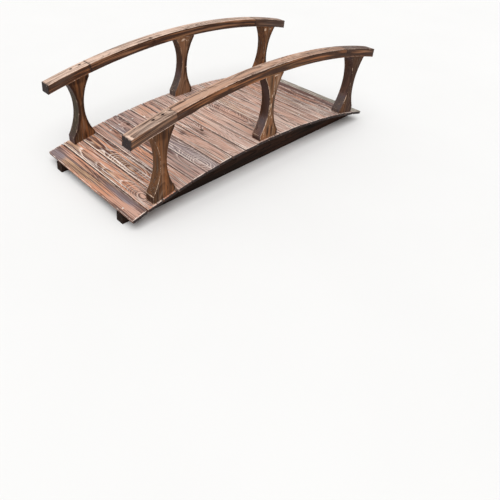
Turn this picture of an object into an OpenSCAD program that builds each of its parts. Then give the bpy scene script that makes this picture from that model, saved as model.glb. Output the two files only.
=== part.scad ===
// Arched garden footbridge: twenty cross planks on two arched stringers, with a handrail of
// three pieces on three waisted posts along each side.
// Frame: origin on the floor under the middle of the bridge, +X along the bridge, +Y to its
// left side, +Z up. All sizes are in millimetres.

/* [Deck] */
// Length of the deck from end to end
deck_length = 1500; // [1300:10:1800]
// Width of the deck across the bridge
deck_width = 630; // [540:10:780]
// Height of the walking surface at each end
deck_end_height = 55; // [50:1:80]
// Height that the walking surface gains from its ends to the middle
deck_rise = 95; // [60:1:140]
// Thickness of each cross plank
plank_thickness = 14; // [12:1:18]
// Gap between neighbouring planks
plank_gap = 3; // [2:0.5:6]

/* [Stringers] */
// Thickness of each stringer board
stringer_thickness = 40; // [30:1:50]
// Distance by which the deck reaches past the outer face of each stringer
deck_overhang = 67; // [40:1:100]
// Distance from the end of the deck to the end of the stringers
stringer_setback = 2; // [1:1:6]

/* [Posts] */
// Thickness of each post across the bridge
post_thickness = 47; // [36:1:54]
// Distance from the edge of the deck to the outer face of the posts
post_inset = 8; // [4:1:16]
// Width of a post along the bridge, at its foot and under the handrail
post_width = 110; // [100:1:130]
// Width of a post at its waist
waist_width = 31; // [28:1:44]
// Height of the upright sides of the foot
toe_height = 25; // [20:1:32]
// Height of the upright sides of the head
head_lip = 8; // [6:1:14]
// Distance from the end of the deck to the middle of a post's foot, at the bridge's start
start_post_setback = 160; // [130:1:200]
// Distance from the end of the deck to the middle of a post's foot, at the bridge's end
end_post_setback = 147; // [130:1:200]
// Lean of the end posts towards the ends of the bridge, in degrees
post_lean = 3; // [0:0.5:6]
// Lean of the right middle post towards the start of the bridge, in degrees
middle_post_lean = 2; // [0:0.5:4]

/* [Handrails] */
// Distance from the end of the deck to the end of the handrail
rail_setback = 1; // [0:1:30]
// Width of each handrail across the bridge
rail_width = 52; // [48:1:66]
// Thickness of each handrail
rail_thickness = 40; // [34:1:46]
// Height from the walking surface to the handrail's top face at the middle of the bridge
rail_height = 342; // [320:1:400]
// Height that the handrail gains from its ends to the middle
rail_rise = 95; // [80:1:130]
// Bevel along the long edges of the handrail
rail_bevel = 2; // [1:0.5:4]
// Length along the bridge of each handrail's piece at the start of the bridge
rail_start_piece = 204; // [180:1:300]
// Length along the bridge of each handrail's piece at the end of the bridge
rail_end_piece = 249; // [180:1:300]

/* [Hidden] */
$fn = 96;
plank_count = 20;
// Depth by which pieces that bear on a curved face are let into it
seat = 0.3;
// Oversize of cutting shapes past the material they cut
over = 50;
deck_top = deck_end_height + deck_rise;
deck_radius = arc_radius(deck_length / 2, deck_rise);
plank_angle = 2 * asin(deck_length / 2 / deck_radius) / plank_count;
plank_pitch = 2 * deck_radius * sin(plank_angle / 2);
plank_width = plank_pitch - plank_gap;
stringer_length = deck_length - 2 * stringer_setback;
stringer_y = deck_width / 2 - deck_overhang - stringer_thickness / 2;
start_post_x = start_post_setback - deck_length / 2;
end_post_x = deck_length / 2 - end_post_setback;
rail_length = deck_length - 2 * rail_setback;
rail_radius = arc_radius(rail_length / 2, rail_rise);
rail_top = deck_top + rail_height;
rail_under = rail_top - rail_thickness;
post_y = deck_width / 2 - post_inset - post_thickness / 2;
post_height = rail_under - deck_top;
start_joint_x = rail_start_piece - rail_length / 2;
end_joint_x = rail_length / 2 - rail_end_piece;

// Radius of the arc that rises by rise over the half length
function arc_radius(half_length, rise) = (half_length * half_length + rise * rise) / (2 * rise);

// Height of the walking surface at x
function deck_height(x) = deck_top - deck_radius + sqrt(deck_radius * deck_radius - x * x);

// Disc whose crown is at the given height, seen along the bridge's side
module arch_disc(crown, radius) {
    translate([0, crown - radius])
        circle(r = radius, $fn = 720);
}

// Outline on the X-Z plane turned upright and given its thickness about y
module upright(y, thickness) {
    translate([0, y + thickness / 2, 0])
        rotate([90, 0, 0])
            linear_extrude(height = thickness)
                children();
}

module stringer_outline() {
    intersection() {
        arch_disc(deck_top - plank_thickness, deck_radius - plank_thickness);
        translate([-stringer_length / 2, 0])
            square([stringer_length, deck_top]);
    }
}

module stringer(side) {
    color("#2a201b")
        upright(side * stringer_y, stringer_thickness)
            stringer_outline();
}

// Plank lies square to the arch at its own place along it
module plank(number) {
    turn = (number - (plank_count + 1) / 2) * plank_angle;
    lift = deck_radius * cos(plank_angle / 2);
    color("#8a6650")
        translate([0, 0, deck_top - deck_radius])
            rotate([0, turn, 0])
                translate([-plank_width / 2, -deck_width / 2, lift - plank_thickness])
                    cube([plank_width, deck_width, plank_thickness]);
}

// One waisted side of a post, as the disc that is cut away from it
module waist_cut() {
    low = toe_height;
    high = post_height - head_lip;
    depth = (post_width - waist_width) / 2;
    radius = arc_radius((high - low) / 2, depth);
    translate([waist_width / 2 + radius, (low + high) / 2])
        circle(r = radius, $fn = 180);
}

module post_blank() {
    difference() {
        translate([-post_width / 2, -over])
            square([post_width, post_height + 2 * over]);
        waist_cut();
        mirror([1, 0])
            waist_cut();
    }
}

// Post of side (left +1, right -1) standing at x, leaning by lean degrees towards +X,
// shaped to the arch under its foot and to the handrail over its head
module post(side, x, lean) {
    color("#6b4a30")
        upright(side * post_y, post_thickness)
            difference() {
                intersection() {
                    translate([x, deck_height(x)])
                        rotate(-lean)
                            post_blank();
                    arch_disc(rail_under + seat, rail_radius - rail_thickness + seat);
                }
                arch_disc(deck_top - seat, deck_radius - seat);
            }
}

// Section of the handrail with bevelled long edges
module rail_section() {
    half = rail_width / 2;
    inner = rail_radius - rail_thickness;
    polygon([
        [inner, rail_bevel - half],
        [inner + rail_bevel, -half],
        [rail_radius - rail_bevel, -half],
        [rail_radius, rail_bevel - half],
        [rail_radius, half - rail_bevel],
        [rail_radius - rail_bevel, half],
        [inner + rail_bevel, half],
        [inner, half - rail_bevel],
    ]);
}

// Stretch of the handrail's arc between two places along the bridge, cut square to the arc
module rail_arc(from, to) {
    from_angle = asin(from / rail_radius);
    to_angle = asin(to / rail_radius);
    translate([0, 0, rail_top - rail_radius])
        rotate([90, 0, 0])
            rotate([0, 0, 90 - to_angle])
                rotate_extrude(angle = to_angle - from_angle, $fn = 720)
                    rail_section();
}

// Piece of the handrail of side, from one place along the bridge to another, with upright
// ends where it reaches the ends of the handrail
module handrail_piece(side, from, to) {
    color("#8a6248")
        translate([0, side * post_y, 0])
            intersection() {
                rail_arc(from, to);
                translate([-rail_length / 2, -rail_width, 0])
                    cube([rail_length, 2 * rail_width, rail_top + over]);
            }
}

module handrail_start(side) {
    handrail_piece(side, -rail_length / 2 - over, start_joint_x);
}

// Main piece of the handrail, between its two joints
module handrail(side) {
    handrail_piece(side, start_joint_x, end_joint_x);
}

module handrail_end(side) {
    handrail_piece(side, end_joint_x, rail_length / 2 + over);
}

stringer(1);  // stringer_left
stringer(-1);  // stringer_right
plank(1);  // plank_01
plank(2);  // plank_02
plank(3);  // plank_03
plank(4);  // plank_04
plank(5);  // plank_05
plank(6);  // plank_06
plank(7);  // plank_07
plank(8);  // plank_08
plank(9);  // plank_09
plank(10);  // plank_10
plank(11);  // plank_11
plank(12);  // plank_12
plank(13);  // plank_13
plank(14);  // plank_14
plank(15);  // plank_15
plank(16);  // plank_16
plank(17);  // plank_17
plank(18);  // plank_18
plank(19);  // plank_19
plank(20);  // plank_20
post(1, start_post_x, -post_lean);  // post_left_start
post(1, 0, 0);  // post_left_middle
post(1, end_post_x, post_lean);  // post_left_end
post(-1, start_post_x, -post_lean);  // post_right_start
post(-1, 0, -middle_post_lean);  // post_right_middle
post(-1, end_post_x, post_lean);  // post_right_end
handrail_start(1);  // handrail_left_start
handrail(1);  // handrail_left
handrail_end(1);  // handrail_left_end
handrail_start(-1);  // handrail_right_start
handrail(-1);  // handrail_right
handrail_end(-1);  // handrail_right_end
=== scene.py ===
import math
import random
from collections import namedtuple
from dataclasses import dataclass

import bmesh
import bpy
from mathutils import Matrix, Vector, noise
from mathutils.kdtree import KDTree


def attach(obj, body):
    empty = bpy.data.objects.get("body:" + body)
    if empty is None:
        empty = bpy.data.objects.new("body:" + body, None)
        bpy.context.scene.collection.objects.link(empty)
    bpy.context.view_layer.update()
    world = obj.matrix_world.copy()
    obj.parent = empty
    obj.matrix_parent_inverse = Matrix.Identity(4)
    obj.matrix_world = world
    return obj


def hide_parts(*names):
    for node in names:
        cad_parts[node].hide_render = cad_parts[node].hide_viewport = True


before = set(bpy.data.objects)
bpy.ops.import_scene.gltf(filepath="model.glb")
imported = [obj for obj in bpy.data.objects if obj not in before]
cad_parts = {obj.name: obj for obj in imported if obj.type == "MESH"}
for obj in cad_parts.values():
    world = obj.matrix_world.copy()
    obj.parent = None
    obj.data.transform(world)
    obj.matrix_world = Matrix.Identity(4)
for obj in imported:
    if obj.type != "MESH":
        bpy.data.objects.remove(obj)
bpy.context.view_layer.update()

# Sizes of the bridge in metres, as in the CAD. Each arch rises from its ends to the middle.
DECK_LENGTH = 1.5
DECK_WIDTH = 0.63
DECK_END = 0.055
DECK_RISE = 0.095
PLANKS = 20
PLANK_THICK = 0.014
PLANK_GAP = 0.003
STRINGER_HALF = 0.748
STRINGER_Y = 0.228
STRINGER_THICK = 0.04
RAIL_HALF = 0.749
RAIL_RISE = 0.095
RAIL_TOP = 0.492
RAIL_WIDE = 0.052
RAIL_THICK = 0.04
# Posts: thickness, place across the bridge, half width at foot and waist, upright height of foot
# and head, and depth by which they are let into the arches that carry them
POST_THICK = 0.047
POST_Y = 0.2835
FOOT_HALF = 0.055
WAIST_HALF = 0.0155
TOE = 0.025
LIP = 0.008
SEAT = 0.0003
# Where each post's foot stands along the bridge, and its lean towards +X in degrees
POSTS = {
    ("left", "start"): (-0.59, -3.0),
    ("left", "middle"): (0.0, 0.0),
    ("left", "end"): (0.603, 3.0),
    ("right", "start"): (-0.59, -3.0),
    ("right", "middle"): (0.0, -2.0),
    ("right", "end"): (0.603, 3.0),
}
# Ends of each handrail's three lengths along the bridge
JOINT_START = -0.545
JOINT_END = 0.5
RAIL_LENGTHS = {
    "start": (-RAIL_HALF, JOINT_START),
    "main": (JOINT_START, JOINT_END),
    "end": (JOINT_END, RAIL_HALF),
}
SIDES = {"left": 1, "right": -1}
# Edges that turn by more than this stay sharp
SHARP = math.radians(50)
SHARP_STEEL = math.radians(35)


def arc_radius(half, rise):
    """Radius of the arc that rises by this much over this half length."""
    return (half * half + rise * rise) / (2 * rise)


DECK_TOP = DECK_END + DECK_RISE
DECK_R = arc_radius(DECK_LENGTH / 2, DECK_RISE)
RAIL_R = arc_radius(RAIL_HALF, RAIL_RISE)
PLANK_TURN = 2 * math.asin(DECK_LENGTH / 2 / DECK_R) / PLANKS
PLANK_WIDE = 2 * DECK_R * math.sin(PLANK_TURN / 2) - PLANK_GAP
RAIL_UNDER = RAIL_TOP - RAIL_THICK
POST_TALL = RAIL_UNDER - DECK_TOP


def arch(x, crown, radius):
    """Height at x of an arch with this crown and radius."""
    return crown - radius + math.sqrt(radius * radius - x * x)


def post_floor(x):
    """Height of the arched face under the posts' feet."""
    return arch(x, DECK_TOP - SEAT, DECK_R - SEAT)


def post_ceiling(x):
    """Height of the arched face over the posts' heads."""
    return arch(x, RAIL_UNDER + SEAT, RAIL_R - RAIL_THICK + SEAT)


def plank_place(number, sunk):
    """A plank's middle, this far under its top face, and its directions onward and up."""
    turn = (number - (PLANKS + 1) / 2) * PLANK_TURN
    onward = Vector((math.cos(turn), 0, -math.sin(turn)))
    up = Vector((math.sin(turn), 0, math.cos(turn)))
    lift = DECK_R * math.cos(PLANK_TURN / 2) - sunk
    return Vector((0, 0, DECK_TOP - DECK_R)) + up * lift, onward, up


def wave(x, y, z):
    """Smooth noise from -1 to 1."""
    return noise.noise(Vector((x, y, z)))


def swell(x, y, z):
    """Smooth noise from 0 to 1."""
    return 0.5 + 0.5 * wave(x, y, z)


def bump_at(x, centre, half):
    """A hump that is 1 at its centre and fades out past this half width."""
    return math.exp(-((x - centre) / half) ** 4)


# Node trees
class Value:
    """An output in a node tree. Arithmetic with it adds a node for each step."""

    def __init__(self, tree, socket):
        self.tree, self.socket = tree, socket

    def __add__(self, other):
        return self.tree.math("ADD", self, other)

    def __sub__(self, other):
        return self.tree.math("SUBTRACT", self, other)

    def __mul__(self, other):
        return self.tree.math("MULTIPLY", self, other)

    def __truediv__(self, other):
        return self.tree.math("DIVIDE", self, other)

    def clamped(self):
        """Holds this value, the result of a step, within 0 to 1."""
        self.socket.node.use_clamp = True
        return self


class Tree:
    """The node tree of a material or world."""

    def __init__(self, owner):
        owner.use_nodes = True
        self.nodes = owner.node_tree.nodes
        self.links = owner.node_tree.links
        self.nodes.clear()

    def plug(self, socket, value):
        if isinstance(value, Value):
            self.links.new(value.socket, socket)
        elif socket.type == "RGBA":
            socket.default_value = (*value, 1.0)
        else:
            socket.default_value = value

    def node(self, kind, *values, named=None, **settings):
        """A new node: its settings, what its first inputs take, and what its inputs take by name."""
        n = self.nodes.new("ShaderNode" + kind)
        for key, value in settings.items():
            setattr(n, key, value)
        for socket, value in zip(n.inputs, values):
            self.plug(socket, value)
        for key, value in (named or {}).items():
            self.plug(n.inputs[key], value)
        return n

    def out(self, node, key=0):
        return Value(self, node.outputs[key])

    def math(self, op, *values):
        return self.out(self.node("Math", *values, operation=op))

    def vec(self, op, *values):
        return self.out(self.node("VectorMath", *values, operation=op), int(op == "LENGTH"))

    def split(self, v):
        n = self.node("SeparateXYZ", v)
        return [self.out(n, axis) for axis in range(3)]

    def attribute(self, name):
        return self.out(self.node("Attribute", attribute_name=name), "Vector")

    def noise(self, v, scale=None, detail=2.0, rough=0.5, shift=None, output="Fac"):
        """Noise over a place that is scaled along each axis, and then shifted."""
        if scale:
            v = self.vec("MULTIPLY", v, scale)
        if shift:
            v = self.vec("ADD", v, shift)
        named = {"Vector": v, "Scale": 1.0, "Detail": detail, "Roughness": rough}
        return self.out(self.node("TexNoise", named=named), output)

    def step(self, v, a, b, lo=0.0, hi=1.0):
        """Goes smoothly from lo to hi while v goes from a to b."""
        return self.out(self.node("MapRange", v, a, b, lo, hi, interpolation_type="SMOOTHSTEP"))

    def mix(self, fac, a, b):
        n = self.node("Mix", data_type="RGBA", named={"Factor": fac, "A": a, "B": b})
        return self.out(n, "Result")

    def ramp(self, v, *stops):
        """Brightness over v, through stops of place and brightness."""
        n = self.node("ValToRGB", v)
        elements = n.color_ramp.elements
        for i, (place, value) in enumerate(stops):
            stop = elements[i] if i < 2 else elements.new(place)
            stop.position = place
            stop.color = (value, value, value, 1)
        return self.out(n)


class Finish(Tree):
    """The tree of a new material, with its shader."""

    def __init__(self, name):
        self.mat = bpy.data.materials.new(name)
        super().__init__(self.mat)
        self.shader = self.node("BsdfPrincipled")
        self.node("OutputMaterial", self.out(self.shader))

    def set(self, name, value):
        self.plug(self.shader.inputs[name], value)

    def relief(self, height, distance):
        self.set("Normal", self.out(self.node("Bump", named={"Distance": distance, "Height": height})))


# Wood
@dataclass
class Look:
    """One kind of charred and brushed softwood."""

    light: tuple  # Bare wood
    # The scorched colour is also where painted shade lands
    dark: tuple  # Scorched wood
    grey: tuple  # Weathered wood
    warm: tuple  # Reddish wood
    olive: tuple  # Dull patches
    # The pale colour also carries the painted sheen on the handrails' tops
    pale: tuple  # Brushed ridges, worn arrises and chips
    knot: tuple  # Knots and splits
    pitch: float  # Width of a year ring, in metres
    lines: float  # How dark the late wood is
    streak: float  # How dark the long streaks are
    ridge: float  # How pale the brushed ridges are
    rough: float  # Roughness of the surface
    bump: float  # Depth of the relief, in metres
    shine: float  # Specular level
    fine: float = 1.2  # How dark the thin streaks are
    char: float = 0.0  # How much deeper the flame bit along the arrises
    knots: float = 0.3  # Share of the places for a knot that have one
    worn: float = 0.009  # How far wear reaches from the arrises, in metres
    contrast: float = 0.08  # How soft the change from bare to scorched wood is
    flecks: float = 0.56  # Level of the thin streaks' noise from which they are pale
    patchy: float = 1.0  # How much the broad patches differ
    moss: tuple = (0.3, 0.29, 0.24)  # Mossy wood


# Places for a knot in a metre along, across and through the board, and how much longer than wide
# a knot is
KNOT_CELLS = (3.4, 9.0, 0.5)
KNOT_LONG = 1.9
# Width of the margin that the flame bit deeper, in metres
BURNT_MARGIN = 0.012
# How dark the fine fibres are
FIBRE = 0.3
# Black paint, thin and thick
PAINT_THIN = (0.01, 0.008, 0.008)
PAINT_THICK = (0.052, 0.038, 0.037)


class Wood(Finish):
    """Wood as its look says. It reads four attributes: grain (place along, across and through the board, in
    metres, moved by a seed), pith (where the heart of the log lies, and how dark the board is, painted shade
    included), tone (how warm, how grey, how pale from bleach, and on the handrails' tops also from a painted
    sheen) and marks (distance from the nearest arris, black paint, which also stands for painted shade in
    the screw holes, pale chips)."""

    def __init__(self, name, look):
        super().__init__(name)
        self.look = look
        self.grain = self.attribute("grain")
        self.pith = self.split(self.attribute("pith"))
        self.tone = self.split(self.attribute("tone"))
        self.off, self.paint, self.chips = self.split(self.attribute("marks"))
        self.streaks = self.noise(self.grain, (3.0, 95, 65), 2.0, 0.55)
        self.thin = self.noise(self.grain, (4.5, 170, 120), 2.0, 0.55, (3.1, 5.7, 2.9))
        self.fibres = self.noise(self.grain, (14, 750, 750), 2.0, 0.6)
        self.patches = self.noise(self.grain, (2.4, 12, 12))
        self.blush = self.noise(self.grain, (3.2, 20, 20), shift=(7.3, 1.9, 4.4))
        bend, core = self.knots()
        self.rings(bend)
        self.scorch()
        split = self.splits()
        wear = self.wear()

        bare, scorched = self.ground()
        colour = self.mix(self.ink, bare, scorched)
        colour = self.mix(self.ridges(), colour, look.pale)
        colour = self.mix(bend * 0.35, colour, self.mix(0.35, look.dark, look.warm))
        colour = self.mix(core * 0.9, colour, look.knot)
        colour = self.mix(split * 0.75, colour, look.knot)
        worn_colour = self.mix(self.step(self.fibres, 0.4, 0.7, 0.0, 0.5), look.pale, bare)
        self.set("Base Color", self.painted(self.mix(wear, colour, worn_colour)))
        gloss = self.ink * -0.1 + (self.fibres - 0.5) * 0.2 + wear * 0.15
        self.set("Roughness", (gloss + look.rough).clamped())
        self.set("Specular IOR Level", look.shine)
        # Brushing left the late wood proud; knots and splits go in
        proud = self.crest * 0.5 + self.fibres * 0.4 + self.thin * 0.5
        self.relief(proud - self.line * 0.3 - (core * 0.5 + split * 0.8), look.bump)

    def knots(self):
        """How much the rings bend round a knot, and where the knot itself is."""
        place = self.vec("MULTIPLY", self.grain, KNOT_CELLS)
        cell = self.node("TexVoronoi", named={"Vector": place, "Scale": 1.0, "Randomness": 0.9})
        in_metres = (1 / KNOT_CELLS[0] / KNOT_LONG, 1 / KNOT_CELLS[1], 0.0)
        away = self.vec("MULTIPLY", self.vec("SUBTRACT", place, self.out(cell, "Position")), in_metres)
        rugged = (self.noise(self.grain, (60, 90, 90), 3.0) - 0.5) * 0.004
        away = self.vec("LENGTH", away) + rugged
        has_knot = self.math("LESS_THAN", self.split(self.out(cell, "Color"))[0], self.look.knots)
        bend = self.step(away, 0.0, 0.034, 1.0, 0.0) * has_knot
        return bend, self.step(away, 0.004, 0.008, 1.0, 0.0) * has_knot

    def rings(self, bend):
        """Year rings round the heart of the log. They wander, which makes the arched figure of
        flat-sawn wood, and bend round the knots."""
        _, across, through = self.split(self.grain)
        wander = self.split(self.noise(self.grain, (2.8, 2.5, 2.5), 1.5, 0.45, output="Color"))
        dv = across - self.pith[0] + (wander[0] - 0.5) * 0.06
        dw = through - self.pith[1] + (wander[1] - 0.5) * 0.07
        radius = self.math("SQRT", dv * dv + dw * dw) + bend * 0.016
        count = radius / self.look.pitch + self.noise(self.grain, (7, 45, 45)) * 0.7
        # Late wood lines are sharp on one side and soft on the other, each with a crest behind it
        share = self.math("FRACT", count)
        late = ((0.0, 0.55), (0.08, 0.0), (0.52, 0.05), (0.76, 0.6), (0.9, 1.0), (1.0, 0.55))
        self.line = self.ramp(share, *late)
        self.crest = self.ramp(share, (0.0, 0.0), (0.07, 0.8), (0.14, 1.0), (0.26, 0.25), (0.4, 0.0))
        year = self.node("CombineXYZ", self.math("FLOOR", count), 0.37, self.pith[0])
        self.strong = self.step(self.noise(self.out(year), detail=0.0), 0.3, 0.62, 0.35, 1.0)

    def scorch(self):
        """How far the flame bit along the arrises, and how dark the wood is altogether: scorched, and darker
        still where the dark tone paints shade.
        """
        look = self.look
        reach = (self.patches - 0.5) * (BURNT_MARGIN * 1.6) + BURNT_MARGIN
        self.burn = self.step(self.off / reach, 0.1, 1.0, 1.0, 0.0) * look.char
        ink = (self.line - 0.32) * self.strong * look.lines
        ink += (self.streaks - 0.5) * (4.0 * look.streak)
        ink += (self.thin - 0.5) * look.fine
        ink += (self.fibres - 0.5) * FIBRE
        ink += (self.patches - 0.5) * look.patchy
        ink += self.burn
        # The dark tone, painted shade included, darkens the wood further
        self.ink = self.step(ink + self.pith[2], look.contrast, 1.0 - look.contrast)

    def ground(self):
        """Colours of the bare and of the scorched wood."""
        look = self.look
        warm, grey, bleached = self.tone
        flush = (self.step(self.blush, 0.4, 0.6) + (warm - 0.5)) * warm
        bare = self.mix(flush.clamped(), look.light, look.warm)
        dull = self.patches + (self.streaks - 0.5) * 0.5
        bare = self.mix(self.step(dull, 0.52, 0.68, 0.0, 0.6), bare, look.olive)
        cool = ((self.step(self.patches, 0.42, 0.62) + (grey - 0.5)) * grey).clamped()
        # A grey of more than 1 is moss
        chill = self.mix(self.step(grey, 1.0, 2.0), look.grey, look.moss)
        bare = self.mix(cool, bare, chill)
        # Bleach, and on the handrails' tops a painted sheen, turn the bare wood pale
        bleach = bleached * self.step(self.thin, 0.25, 0.6, 0.75, 1.0)
        bare = self.mix(bleach.clamped(), bare, look.pale)
        return bare, self.mix(cool * 0.45, look.dark, chill)

    def ridges(self):
        """How much the brushed ridges show. A bleaching tone under 0 holds them back, as on the handrails'
        sides.
        """
        look = self.look
        lit = self.crest * self.strong * self.step(self.streaks, 0.36, 0.56)
        lit = (lit + self.step(self.thin, look.flecks, look.flecks + 0.1)).clamped()
        lit *= self.step(self.pith[2] + self.burn, 0.45, 1.0, 1.0, 0.1)
        lit = (lit * look.ridge * self.step(self.patches, 0.34, 0.58, 0.4, 1.0)).clamped()
        return lit * self.step(self.tone[2], -1.0, 0.0)

    def splits(self):
        """Drying checks: short dark splits along the grain."""
        split = self.math("ABSOLUTE", self.noise(self.grain, (5.5, 95, 40), 1.0, 0.5, (1.3, 8.1, 0.4)) - 0.5)
        return self.step(split, 0.004, 0.016, 1.0, 0.0) * self.step(self.blush, 0.55, 0.66)

    def wear(self):
        """Worn arrises and chips, in broken lengths."""
        rough = self.noise(self.grain, (26, 60, 60), 3.0, 0.62)
        nicks = self.noise(self.grain, (130, 210, 210), 3.0, 0.65, (4.1, 2.2, 6.3))
        worn = self.look.worn
        bare = self.step(rough * worn - worn * 0.34 - self.off, 0.0, 0.0006)
        bare *= self.step(nicks + (self.patches - 0.5) * 0.8, 0.36, 0.6, 0.25, 0.95)
        # A mark of 1 covers about half, and a stronger one more
        chip = self.step(nicks + ((rough - 0.5) * 0.6 + self.chips * 0.45), 0.89, 1.03)
        chip *= self.step(self.chips, 0.1, 0.5)
        return self.math("MAXIMUM", bare, chip).clamped()

    def painted(self, colour):
        """The colour under black paint on the sawn ends, which is thin in places."""
        cover = self.noise(self.grain, (120, 160, 160), 3.0, 0.6)
        paint = (self.paint * self.step(cover, 0.26, 0.42)).clamped()
        return self.mix(paint, colour, self.mix(cover, PAINT_THIN, PAINT_THICK))


DECK = Wood("deck_wood", Look(
    light=(0.575, 0.357, 0.284), dark=(0.105, 0.05, 0.039), grey=(0.285, 0.228, 0.238),
    warm=(0.61, 0.297, 0.186), olive=(0.53, 0.385, 0.225), pale=(0.88, 0.735, 0.65),
    knot=(0.05, 0.024, 0.017), pitch=0.0048, lines=0.6, streak=0.72, fine=4.6, ridge=1.0, rough=0.75,
    bump=0.0012, shine=0.08, knots=0.1, worn=0.008, contrast=0.05, flecks=0.555, patchy=0.8,
)).mat
RAIL = Wood("rail_wood", Look(
    light=(0.32, 0.16, 0.088), dark=(0.055, 0.024, 0.014), grey=(0.17, 0.13, 0.112),
    warm=(0.34, 0.14, 0.062), olive=(0.25, 0.155, 0.072), pale=(0.76, 0.56, 0.45),
    knot=(0.03, 0.014, 0.009), pitch=0.0038, lines=0.26, streak=0.27, fine=3.8, ridge=0.66, rough=0.64,
    bump=0.0006, shine=0.06, knots=0.05, worn=0.0055, flecks=0.57, patchy=0.15,
)).mat
POST = Wood("post_wood", Look(
    light=(0.212, 0.096, 0.044), dark=(0.042, 0.018, 0.01), grey=(0.125, 0.09, 0.096),
    warm=(0.28, 0.108, 0.04), olive=(0.195, 0.11, 0.044), pale=(0.68, 0.5, 0.37),
    knot=(0.016, 0.008, 0.006), pitch=0.0046, lines=0.2, streak=0.19, fine=0.9, ridge=0.18, rough=0.68,
    bump=0.0007, shine=0.05, knots=0.12, patchy=0.8, moss=(0.062, 0.058, 0.04),
)).mat
BEARER = Wood("stringer_wood", Look(
    light=(0.042, 0.021, 0.014), dark=(0.008, 0.004, 0.003), grey=(0.018, 0.013, 0.011),
    warm=(0.06, 0.024, 0.012), olive=(0.036, 0.022, 0.012), pale=(0.11, 0.072, 0.05),
    knot=(0.005, 0.003, 0.003), pitch=0.005, lines=0.6, streak=0.4, ridge=0.12, rough=0.82,
    bump=0.001, shine=0.06, char=0.2,
)).mat


def steel(name, bright, rust):
    t = Finish(name)
    place = t.out(t.node("TexCoord"), "Object")
    patch = t.noise(place, (240, 240, 240), 4.0, 0.6)
    fine = t.noise(place, (1500, 1500, 1500), 2.0, 0.6)
    stain = t.step(patch, 0.44, 0.62)
    metal = t.mix(fine, bright, [c * 0.6 for c in bright])
    t.set("Base Color", t.mix(stain, metal, rust))
    t.set("Metallic", t.step(stain, 0.0, 1.0, 0.5, 0.15))
    t.set("Roughness", t.step(patch, 0.2, 0.8, 0.38, 0.75))
    t.relief(patch + fine * 0.4, 0.0004)
    return t.mat


ZINC = steel("zinc_screws", (0.84, 0.82, 0.79), (0.62, 0.54, 0.47))
BLACK_STEEL = steel("dark_screws", (0.1, 0.09, 0.085), (0.055, 0.036, 0.028))


# Meshes
ATTRIBUTES = ("grain", "pith", "tone", "marks")


def write_attribute(mesh, name, values):
    made = mesh.attributes.new(name, "FLOAT_VECTOR", "POINT")
    made.data.foreach_set("vector", [c for value in values for c in value])


def shade(mesh, sharp):
    mesh.shade_smooth()
    mesh.set_sharp_from_angle(angle=sharp)


def new_mesh(name, points, faces, material):
    mesh = bpy.data.meshes.new(name)
    mesh.from_pydata([tuple(point) for point in points], [], faces)
    mesh.materials.append(material)
    return mesh


def new_object(name, data):
    """A new object, in the scene."""
    made = bpy.data.objects.new(name, data)
    bpy.context.scene.collection.objects.link(made)
    return made


def build(name, points, faces, material, attributes=None, sharp=SHARP):
    """A piece that rides on the root, with vector attributes on its points."""
    mesh = new_mesh(name, points, faces, material)
    for key, values in (attributes or {}).items():
        write_attribute(mesh, key, values)
    mesh.validate()
    shade(mesh, sharp)
    piece = new_object(name, mesh)
    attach(piece, "root")
    return piece


def bands(levels, sides):
    """Faces between neighbouring rings of points."""
    faces = []
    for low in range(0, (levels - 1) * sides, sides):
        for i in range(sides):
            j = (i + 1) % sides
            faces.append((low + i, low + j, low + sides + j, low + sides + i))
    return faces


def mean(ring):
    """The mean of points that are each a place followed by its attributes."""
    return tuple(
        tuple(sum(point[part][axis] for point in ring) / len(ring) for axis in range(3))
        for part in range(len(ring[0]))
    )


def loft(rings):
    """Points and faces of a closed tube through rings, with a fan over each end."""
    sides = len(rings[0])
    points = [point for ring in rings for point in ring]
    faces = bands(len(rings), sides)
    for level, order in ((0, -1), (len(rings) - 1, 1)):
        hub = len(points)
        points.append(mean(rings[level]))
        for i in range(sides):
            fan = (level * sides + i, level * sides + (i + 1) % sides, hub)
            faces.append(fan[::order])
    return points, faces


def spread(low, high, count, near=0.003):
    """Places from low to high, both left out, with one close to each end where there is room."""
    if high - low < 4 * near or count < 3:
        return [low + (high - low) * (i + 1) / (count + 1) for i in range(count)]
    return [low + near + (high - low - 2 * near) * i / (count - 1) for i in range(count)]


def section(half_v, half_w, radius, across, up, corner=3):
    """Points round a rounded rectangle: (v, w, normal v, normal w, distance from the arris),
    anticlockwise from the lower right. Across and up say how many points its faces have."""
    rv, rw = half_v - radius, half_w - radius
    arc = radius * math.pi / 4
    out = []

    def bend(cv, cw, first):
        for i in range(corner + 1):
            a = first + math.pi / 2 * i / corner
            off = abs(2 * i / corner - 1) * arc
            out.append((cv + radius * math.cos(a), cw + radius * math.sin(a), math.cos(a), math.sin(a), off))

    for w in spread(-rw, rw, up):
        out.append((half_v, w, 1.0, 0.0, rw - abs(w) + arc))
    bend(rv, rw, 0.0)
    for v in reversed(spread(-rv, rv, across)):
        out.append((v, half_w, 0.0, 1.0, rv - abs(v) + arc))
    bend(-rv, rw, math.pi / 2)
    for w in reversed(spread(-rw, rw, up)):
        out.append((-half_v, w, -1.0, 0.0, rw - abs(w) + arc))
    bend(-rv, -rw, math.pi)
    for v in spread(-rv, rv, across):
        out.append((v, -half_w, 0.0, -1.0, rv - abs(v) + arc))
    bend(rv, -rw, math.pi * 1.5)
    return out


def dress(name, node, material, lofted):
    """A piece of wood that stands for a CAD node."""
    points, faces = lofted
    values = {key: [point[i] for point in points] for i, key in enumerate(ATTRIBUTES, 1)}
    piece = build(name, [point[0] for point in points], faces, material, values)
    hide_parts(node)
    return piece


def rounded_ends(shares):
    """Rings at these shares of a length, with two more at each end, and how far each is drawn in
    as a share of the end's rounding."""
    return [(0.0, 1.0), (0.0, 0.35), *((s, 0.0) for s in shares), (1.0, 0.35), (1.0, 1.0)]


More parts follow.
